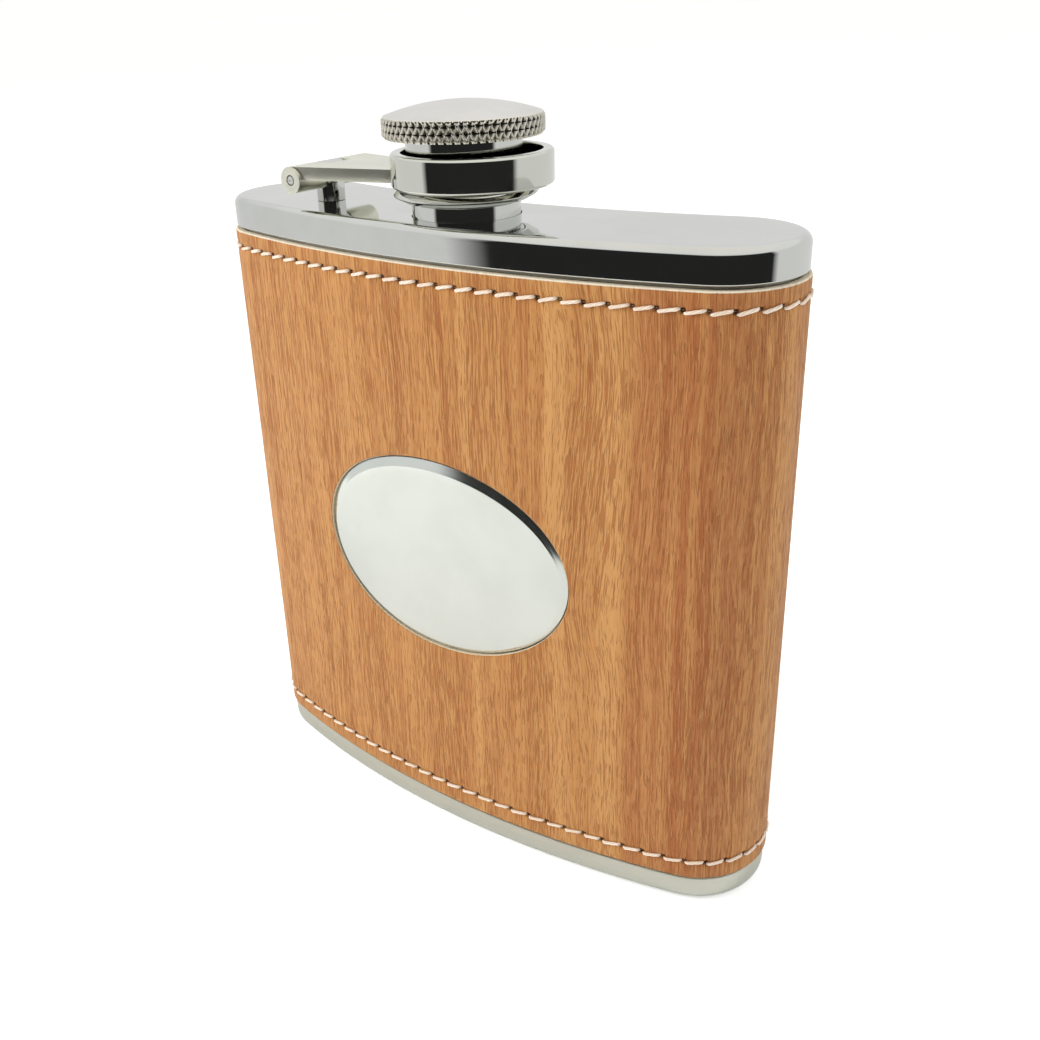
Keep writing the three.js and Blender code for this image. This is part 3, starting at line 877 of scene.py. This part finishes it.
wrap_piece("grain_wrap", "wrap_face", "wood_grain_wrap", 0.0, FACE_THICK, [WOOD, CLOTH], True)
wrap_piece("backing_wrap", "wrap_backing", "wrap_backing", BACKING_OUTER, BACKING_INNER,
           [CLOTH, CLOTH], False)

# ---- Stitches


def at(trace, u, z, height):
    """Points on the outline at lengths u along it, standing out from the wrap by height."""
    x = np.interp(u, trace.u, trace.ring(0, 0)[:, 0])
    y = np.interp(u, trace.u, trace.ring(0, 0)[:, 1])
    nx = np.interp(u, trace.u, trace.normal[:, 0])
    ny = np.interp(u, trace.u, trace.normal[:, 1])
    long = np.hypot(nx, ny)
    return np.column_stack([x + nx / long * height, y + ny / long * height, z])


def stitch_row(name, node, holes, lift):
    """Separate slanting stitches of three-strand thread, diving into the needle holes."""
    sides, stations = 15, 30
    dive, sunk, stand, thin, fuller = 0.16, -0.26, 0.32, 0.14, 0.085
    points, faces, ply = [], [], []
    t = np.linspace(0, 1, stations)
    rise = np.sin(np.minimum(1, np.minimum(t, 1 - t) / dive) * math.pi / 2)
    centre_h = sunk + stand * rise
    for k in range(len(holes) - 1):
        (u0, z0), (u1, z1) = holes[k], holes[k + 1]
        wobble = rng.normal(0, 0.03)
        start_u, stop_u = u0 + 0.20, u1 - 0.34
        start_z, stop_z = z0 - 0.10 - lift, z1 - 0.06 + lift * 0.9
        u = start_u + (stop_u - start_u) * t
        z = start_z + (stop_z - start_z) * t + wobble * np.sin(math.pi * t)
        fat = (thin + fuller * rise) * (1 + rng.normal(0, 0.03))
        centre = at(wrap_fine, u, z, centre_h)
        out = at(wrap_fine, u, z, centre_h + 1.0) - centre
        along = np.gradient(centre, axis=0)
        along /= np.linalg.norm(along, axis=1)[:, None]
        across = np.cross(along, out)
        across /= np.linalg.norm(across, axis=1)[:, None]
        up = np.cross(across, along)
        first = len(points)
        phase = rng.uniform(0, 2 * math.pi)
        for i in range(stations):
            for j in range(sides):
                phi = 2 * math.pi * j / sides
                strand = abs(math.cos(1.5 * (phi - phase) - 2.6 * math.pi * t[i]))
                radius = fat[i] * (0.86 + 0.14 * strand)
                offset = across[i] * math.cos(phi) * 1.12 + up[i] * math.sin(phi)
                points.append(centre[i] + offset * radius)
                ply.append(strand)
        for i in range(stations - 1):
            for j in range(sides):
                m = (j + 1) % sides
                low, high = first + i * sides, first + (i + 1) * sides
                faces.append((low + j, high + j, high + m, low + m))
        faces.append(tuple(range(first, first + sides)))
        last = first + (stations - 1) * sides
        faces.append(tuple(range(last, last + sides))[::-1])
    make(name, np.array(points), faces, "flask", node, "thread", [THREAD], None, None, {"ply": ply})


stitch_row("upper_stitches", "upper_stitching", upper_holes, 0.26)
stitch_row("lower_stitches", "lower_stitching", lower_holes, 0.19)

# ---- Oval plate


def oval():
    count = 200
    turn = round_angles(count)
    a, b = WINDOW_A - 0.25, WINDOW_B - 0.25
    top, back = 0.1, 0.7

    def ring(half_a, half_b, inset, drop=0.0):
        x = WINDOW_X + half_a * np.cos(turn)
        z = WINDOW_Z - drop + half_b * np.sin(turn)
        y = front_centre - np.sqrt((front_radius - inset) ** 2 - x * x)
        return np.column_stack([x, y, z])

    face_a, face_b, drop = a - 0.72, b - 0.95, 0.42
    rings = [ring(a - 0.1, b - 0.1, back), ring(a, b, back - 0.08), ring(a, b, 0.46),
             ring(a - 0.02, b - 0.02, 0.41)]
    for k in (0.3, 0.6, 0.85):
        inset = 0.4 - (0.4 - top - 0.02) * k
        rings.append(ring(a + (face_a - a) * k, b + (face_b - b) * k, inset, drop * k))
    rings.append(ring(face_a, face_b, top + 0.012, drop))
    rings.append(ring(face_a - 0.06, face_b - 0.06, top, drop))
    for k in np.linspace(0, 1, 15)[1:-1]:
        rings.append(ring((face_a - 0.06) * (1 - k), (face_b - 0.06) * (1 - k), top, drop))
    points = np.vstack(rings)
    faces = strips(rings)
    centre = len(points)
    hub = ring(0, 0, top, drop)[:1]
    points = np.vstack([points, hub])
    last = (len(rings) - 1) * count
    faces += [(last + i, last + (i + 1) % count, centre) for i in range(count)]
    faces.append(tuple(range(count))[::-1])
    make("oval_badge", points, faces, "flask", "oval_plate", "polished_steel", [OVAL_STEEL], 14)


oval()

# ---- Turned pieces


def threaded(radius_low, radius_high, grid_angles, z):
    """Radius of a right-hand helical thread at each angle and height."""
    phase = (z - THREAD_START) / THREAD_PITCH - grid_angles / (2 * math.pi)
    saw = phase - np.floor(phase)
    shape = smoothstep(1 - np.abs(saw - 0.35) / THREAD_FLANK, 0, 1)
    ends = smoothstep(phase, -0.4, 0.2) * (1 - smoothstep(phase, THREAD_TURNS - 0.5, THREAD_TURNS + 0.1))
    return radius_low + (radius_high - radius_low) * shape * ends


def spout():
    angles, ring = turned(144)
    bottom, top = spout_low[2], spout_high[2]
    bore, disc, neck = 4.7, 9.2, 7.5
    disc_top, shoulder = 96.2, 98.75
    profile = rounded([(bore, bottom), (disc, bottom), (disc, disc_top), (neck, disc_top),
                       (neck, shoulder), (THREAD_ROOT, shoulder)], 0.15)[:-1]
    rings = [ring(r, z) for r, z in profile]
    for z in np.arange(shoulder + 0.05, top - 0.3, 0.1):
        rings.append(ring(threaded(THREAD_ROOT, THREAD_CREST, angles, z), z))
    rings += [ring(r, top - drop) for r, drop in (
        (THREAD_ROOT, 0.25), (THREAD_ROOT - 0.1, 0.06), (THREAD_ROOT - 0.25, 0), (bore + 0.2, 0),
        (bore + 0.05, 0.06), (bore, 0.2))]
    make("spout_neck", np.vstack(rings), strips(rings, True), "flask", "filling_spout",
         "polished_steel", [STEEL], 45)


def stem():
    angles, ring = turned(144)
    bottom, top = stem_low[2], stem_high[2]
    ceiling, groove_top = 105.8, 105.4
    rings = [ring(0.4, ceiling), ring(STEM_BORE, ceiling)]
    for z in np.arange(groove_top, bottom + 0.25, -0.1):
        rings.append(ring(threaded(STEM_BORE, STEM_GROOVE, angles, z), z))
    outer = (stem_high[0] - stem_low[0]) / 2
    rings += [ring(r, bottom + rise) for r, rise in (
        (STEM_BORE, 0.15), (STEM_BORE + 0.12, 0.02), (STEM_GROOVE, 0), (outer - 0.2, 0),
        (outer - 0.05, 0.05), (outer, 0.2))]
    rings += [ring(outer, top), ring(0.4, top)]
    make("cap_thimble", np.vstack(rings), capped(rings), "cap", "cap_stem", "polished_steel", [STEEL], 45)


def flange():
    bottom, top = flange_low[2], flange_high[2]
    bore, foot, edge, crown = 8.05, 8.6, 10.0, 9.35
    edge_low, edge_high = 99.62, 99.78
    profile = rounded([(bore, bottom), (foot, bottom), (edge - 0.15, edge_low), (edge, edge_high),
                       (crown, top), (bore, top)], 0.1)
    points, faces = lathe(profile, 192)
    make("cap_lock_ring", points, faces, "cap", "cap_flange", "polished_steel", [STEEL], 35)


def head():
    """The knurled cap: crossed grooves cut round the rim, chamfers and a shallow satin dome."""
    teeth, per = 62, 14
    steps = teeth * per
    radius = (head_high[0] - head_low[0]) / 2
    bottom = head_low[2]
    rim = 109.95
    dome = head_high[2] - rim
    width = 2 * math.pi * radius / steps
    dz = width / math.tan(math.radians(31))
    depth, inset = 0.34, 0.34
    ring = turned(steps)[1]
    column = np.arange(steps)

    def tooth(shift):
        """Crossed ridges with pits between them; one family stands a little higher."""
        def ridge(k, wide):
            saw = np.abs(((k % per) / per) - 0.5) * 2
            return np.clip(1 - saw / wide, 0, 1)
        return np.maximum(ridge(column - shift, 0.80), 0.88 * ridge(column + shift, 0.70))

    rows = int((rim - bottom - 0.5) / dz)
    first_z = bottom + (rim - bottom - rows * dz) / 2
    rings = [ring(radius - 0.45, bottom), ring(radius - 0.36, bottom + 0.02)]
    pits = [np.zeros(steps)] * 2
    for k in range(rows + 1):
        z = first_z + k * dz
        fade = min(1.0, (k + 1.6) / 2.4, (rows - k + 1.6) / 2.4)
        edge = 0.16 if k in (0, rows) else 0.0
        rings.append(ring(radius - edge - depth * (1 - tooth(k)) * fade, z))
        # Painted shade: how deep each point sits in a pit sets how dark the cap is tinted there.
        pits.append(np.clip(1.25 * (1 - tooth(k)), 0, 1) * fade)
    edge_radius = radius - inset
    rings.append(ring(radius - 0.24, rim - 0.06))
    ball = (edge_radius ** 2 + dome ** 2) / (2 * dome)
    for k in range(26):
        r = edge_radius * (1 - k / 26) ** 0.9
        rings.append(ring(r, rim + dome - ball + math.sqrt(ball * ball - r * r)))
    pits += [np.zeros(steps)] * (len(rings) - len(pits))
    make("knurled_head", np.vstack(rings), capped(rings), "cap", "cap_head", "satin_cap", [NICKEL], 32,
         None, {"pit": np.concatenate(pits)})


spout()
stem()
flange()
head()

# ---- Hinge and arm

HINGE_X = (pin_low[0] + pin_high[0]) / 2
HINGE_Z = (pin_low[2] + pin_high[2]) / 2
BARREL = HINGE_X - arm_low[0]
BARREL_HALF = (pin_high[1] - pin_low[1]) / 2
RING_X = arm_high[0] - RING_OUTER


def tool(name, points, faces):
    """A closed mesh used only for joining and cutting, in millimetres."""
    mesh = raw_mesh(name, points, faces)
    mesh.validate()
    return linked(name, mesh)


def cylinder(radius, low, high):
    return [(radius, low), (radius, high), (0, high), (0, low)]


def crosswise(profile, steps=96):
    """A turned piece along the hinge line."""
    points, faces = lathe(profile, steps)
    return np.column_stack([points[:, 0] + HINGE_X, -points[:, 2], points[:, 1] + HINGE_Z]), faces


def pin_bore():
    reach = BARREL_HALF + 1.0
    return tool("bore", *crosswise(cylinder(PIN_HOLE, -reach, reach), 48))


def prism(outline_points, low, high):
    count = len(outline_points)
    points = [(x, y, low) for x, y in outline_points] + [(x, y, high) for x, y in outline_points]
    faces = [(i, (i + 1) % count, count + (i + 1) % count, count + i) for i in range(count)]
    faces += [tuple(range(count))[::-1], tuple(range(count, 2 * count))]
    return np.array(points, float), faces


def carve(first, steps, bevel):
    """Applies joins and cuts in order, then eases the sharp edges, and returns the mesh."""
    for operation, other in steps:
        modifier = first.modifiers.new("step", "BOOLEAN")
        modifier.operation = operation
        modifier.object = other
        modifier.solver = "EXACT"
    weld = first.modifiers.new("weld", "WELD")
    weld.merge_threshold = 0.002
    ease = first.modifiers.new("ease", "BEVEL")
    ease.width = bevel
    ease.segments = 3
    ease.limit_method = "ANGLE"
    ease.angle_limit = math.radians(35)
    ease.use_clamp_overlap = True
    graph = bpy.context.evaluated_depsgraph_get()
    mesh = bpy.data.meshes.new_from_object(first.evaluated_get(graph))
    for other in [first] + [other for _, other in steps]:
        bpy.data.objects.remove(other)
    points = np.empty(len(mesh.vertices) * 3)
    mesh.vertices.foreach_get("co", points)
    points = points.reshape(-1, 3)
    points[:, 1] += CENTRE_Y
    mesh.vertices.foreach_set("co", (points * MM).ravel())
    mesh.update()
    return mesh


def arm():
    bottom, top, bore, edge = 100.85, 105.4, 9.65, 0.3
    section = [(bore, bottom), (RING_OUTER - edge, bottom), (RING_OUTER, bottom + edge),
               (RING_OUTER, top - edge), (RING_OUTER - edge, top), (bore, top)]
    reach = RING_X - math.sqrt(RING_OUTER ** 2 - ARM_HALF ** 2) + 0.725
    flare = [(t, BARREL_HALF + (ARM_HALF - BARREL_HALF) * t) for t in np.linspace(0, 1, 13)]
    right = [(HINGE_X + (reach - HINGE_X) * t, w) for t, w in flare]
    plan = [(x, -w) for x, w in right] + [(x, w) for x, w in right[::-1]]
    ring_tool = tool("ring", *lathe(rounded(section, 0.12), 192, RING_X))
    plate_tool = tool("plate", *prism(plan, bottom, HINGE_Z + BARREL))
    barrel_tool = tool("barrel", *crosswise(cylinder(BARREL, -BARREL_HALF, BARREL_HALF)))
    bore_tool = pin_bore()
    start, stop = HINGE_X - 4, HINGE_X + 2.8
    slot_plan = [(start, -SLOT_HALF), (stop, -SLOT_HALF), (stop, SLOT_HALF), (start, SLOT_HALF)]
    slot_tool = tool("slot", *prism(slot_plan, HINGE_Z - 4, HINGE_Z + 4))
    mesh = carve(ring_tool, [("UNION", plate_tool), ("UNION", barrel_tool), ("DIFFERENCE", bore_tool),
                             ("DIFFERENCE", slot_tool)], 0.14)
    finish = arm_steel("arm_steel", RING_X * MM, CENTRE_Y * MM, RING_OUTER * MM)
    place("captive_arm", mesh, "arm", "retainer_arm", "polished_steel", [finish], 40)


def post():
    radius = (post_high[1] - post_low[1]) / 2
    post_tool = tool("post", *lathe(cylinder(radius, post_low[2], HINGE_Z), 96, HINGE_X))
    knuckle_tool = tool("knuckle", *crosswise(cylinder(BARREL, -radius, radius)))
    bore_tool = pin_bore()
    mesh = carve(post_tool, [("UNION", knuckle_tool), ("DIFFERENCE", bore_tool)], 0.1)
    place("hinge_knuckle_post", mesh, "flask", "hinge_post", "polished_steel", [STEEL], 40)


def pin():
    """The riveted pin: eased ends with a small punched mark in each."""
    r, h = (pin_high[2] - pin_low[2]) / 2, BARREL_HALF
    profile = rounded([(0, -h + 0.12), (0.16, -h + 0.12), (0.22, -h), (r, -h), (r, h), (0.22, h),
                       (0.16, h - 0.12), (0, h - 0.12)], 0.05)
    points, faces = crosswise(profile, 48)
    make("hinge_rivet", points, faces, "flask", "hinge_pin", "polished_steel", [STEEL], 40)


arm()
post()
pin()

# ---- Stage, lights and camera


def staged(name, points, faces, material):
    mesh = raw_mesh(name, points, faces)
    mesh.materials.append(material)
    obj = linked(name, mesh)
    return obj


def floor():
    """Pale sweep that glows a little, except in reflections, so that it runs into the white world."""
    s = Shade("pale_floor", specular=0.1)
    grain = s.noise(s.place(), 12.0, 2.0, 0.5)
    tint = s.mix(s.remap(grain, 0.3, 0.7), (0.90, 0.905, 0.905), (0.92, 0.92, 0.918))
    s.shader.inputs["Emission Color"].default_value = (0.985, 0.99, 1.0, 1.0)
    ray = s.node("ShaderNodeLightPath")
    glow = s.minus(1.0, ray.outputs["Is Glossy Ray"])
    s.feed(s.shader.inputs["Emission Strength"], s.times(glow, 0.42))
    material = s.finish(tint, s.remap(grain, 0.2, 0.8, 0.75, 0.85))
    reach = 6.0
    staged("pale_floor", [(-reach, -reach, 0), (reach, -reach, 0), (reach, reach, 0), (-reach, reach, 0)],
           [(0, 1, 2, 3)], material)


def flag_card():
    """Studio surroundings seen only in the steel: a pale grey curve with one plain dark flag."""
    radius, levels, pale, dark = 0.30, (0.0, 0.22, 0.27, 0.42), 0.82, 0.022
    azimuths = np.arange(-180, 181, 2.0)
    points, faces, tones = [], [], []
    for azimuth in azimuths:
        angle = math.radians(azimuth)
        shade = np.interp(azimuth, (-34, -26, 94, 102), (pale, dark, dark, pale))
        for row, z in enumerate(levels):
            points.append((math.sin(angle) * radius, -math.cos(angle) * radius, z))
            tones.append(shade if row < 2 else 0.95)
    rows = len(levels)
    for i in range(len(azimuths) - 1):
        for j in range(rows - 1):
            a = i * rows + j
            faces.append((a, a + rows, a + rows + 1, a + 1))
    material = bpy.data.materials.new("flag_card")
    material.use_nodes = True
    tree = material.node_tree
    tree.nodes.clear()
    tone = tree.nodes.new("ShaderNodeAttribute")
    tone.attribute_name = "tone"
    glow = tree.nodes.new("ShaderNodeEmission")
    out = tree.nodes.new("ShaderNodeOutputMaterial")
    tree.links.new(tone.outputs["Fac"], glow.inputs["Color"])
    tree.links.new(glow.outputs[0], out.inputs["Surface"])
    obj = staged("flag_card", points, faces, material)
    layer = obj.data.attributes.new("tone", "FLOAT", "POINT")
    layer.data.foreach_set("value", np.array(tones, np.float32))
    for ray_kind in ("camera", "diffuse", "transmission", "volume_scatter", "shadow"):
        setattr(obj, "visible_" + ray_kind, False)


floor()
flag_card()

world = bpy.data.worlds.new("soft_room")
bpy.context.scene.world = world
world.use_nodes = True
nodes, link = world.node_tree.nodes, world.node_tree.links.new
background = nodes["Background"]
coordinates = nodes.new("ShaderNodeTexCoord")
parts = nodes.new("ShaderNodeSeparateXYZ")
link(coordinates.outputs["Generated"], parts.inputs["Vector"])
ramp = nodes.new("ShaderNodeValToRGB")
low_stop, high_stop = ramp.color_ramp.elements
low_stop.position, low_stop.color = 0.0, (1.0, 1.0, 0.985, 1)
high_stop.position, high_stop.color = 0.35, (1.0, 0.985, 0.945, 1)
link(parts.outputs["Z"], ramp.inputs["Fac"])
link(ramp.outputs["Color"], background.inputs["Color"])
ray = nodes.new("ShaderNodeLightPath")
level = nodes.new("ShaderNodeMapRange")
level.inputs["To Min"].default_value = 1.0
level.inputs["To Max"].default_value = 0.62
link(ray.outputs["Is Diffuse Ray"], level.inputs["Value"])
link(level.outputs["Result"], background.inputs["Strength"])


def area_light(name, place_at, aim, size, power, colour):
    data = bpy.data.lights.new(name, "AREA")
    data.shape = "SQUARE"
    data.size = size
    data.energy = power
    data.color = colour
    obj = linked(name, data)
    obj.location = place_at
    obj.rotation_euler = (Vector(aim) - Vector(place_at)).to_track_quat("-Z", "Y").to_euler()
    obj.visible_glossy = False


area_light("key", (-0.62, -0.50, 0.42), (0, 0, 0.05), 0.34, 5.5, (1.0, 0.98, 0.95))
area_light("fill", (0.7, 0.2, 0.8), (0, 0, 0.06), 0.6, 3.0, (0.97, 0.99, 1.0))

camera_at = Vector((0.104089, -0.128032 + CENTRE_Y * MM, 0.125041))
azimuth, elevation, roll = (math.radians(v) for v in (38.985, 25.386, -2.357))
back = Vector((math.sin(azimuth) * math.cos(elevation), -math.cos(azimuth) * math.cos(elevation),
               math.sin(elevation)))
right = Vector((math.cos(azimuth), math.sin(azimuth), 0))
up = right.cross(-back)
turned_right = math.cos(roll) * right + math.sin(roll) * up
turned_up = -math.sin(roll) * right + math.cos(roll) * up
camera_data = bpy.data.cameras.new("camera")
camera_data.lens = 40.437
camera_data.sensor_width = 36.0
camera_data.shift_x = 0.03554
camera_data.shift_y = 0.0202
camera_data.clip_start = 0.01
camera_data.clip_end = 50.0
camera = bpy.data.objects.new("camera", camera_data)
matrix = Matrix((turned_right, turned_up, back)).transposed().to_4x4()
matrix.translation = camera_at
camera.matrix_world = matrix
bpy.context.scene.collection.objects.link(camera)
bpy.context.scene.camera = camera
bpy.context.scene.view_settings.view_transform = "Standard"
bpy.context.scene.view_settings.look = "None"
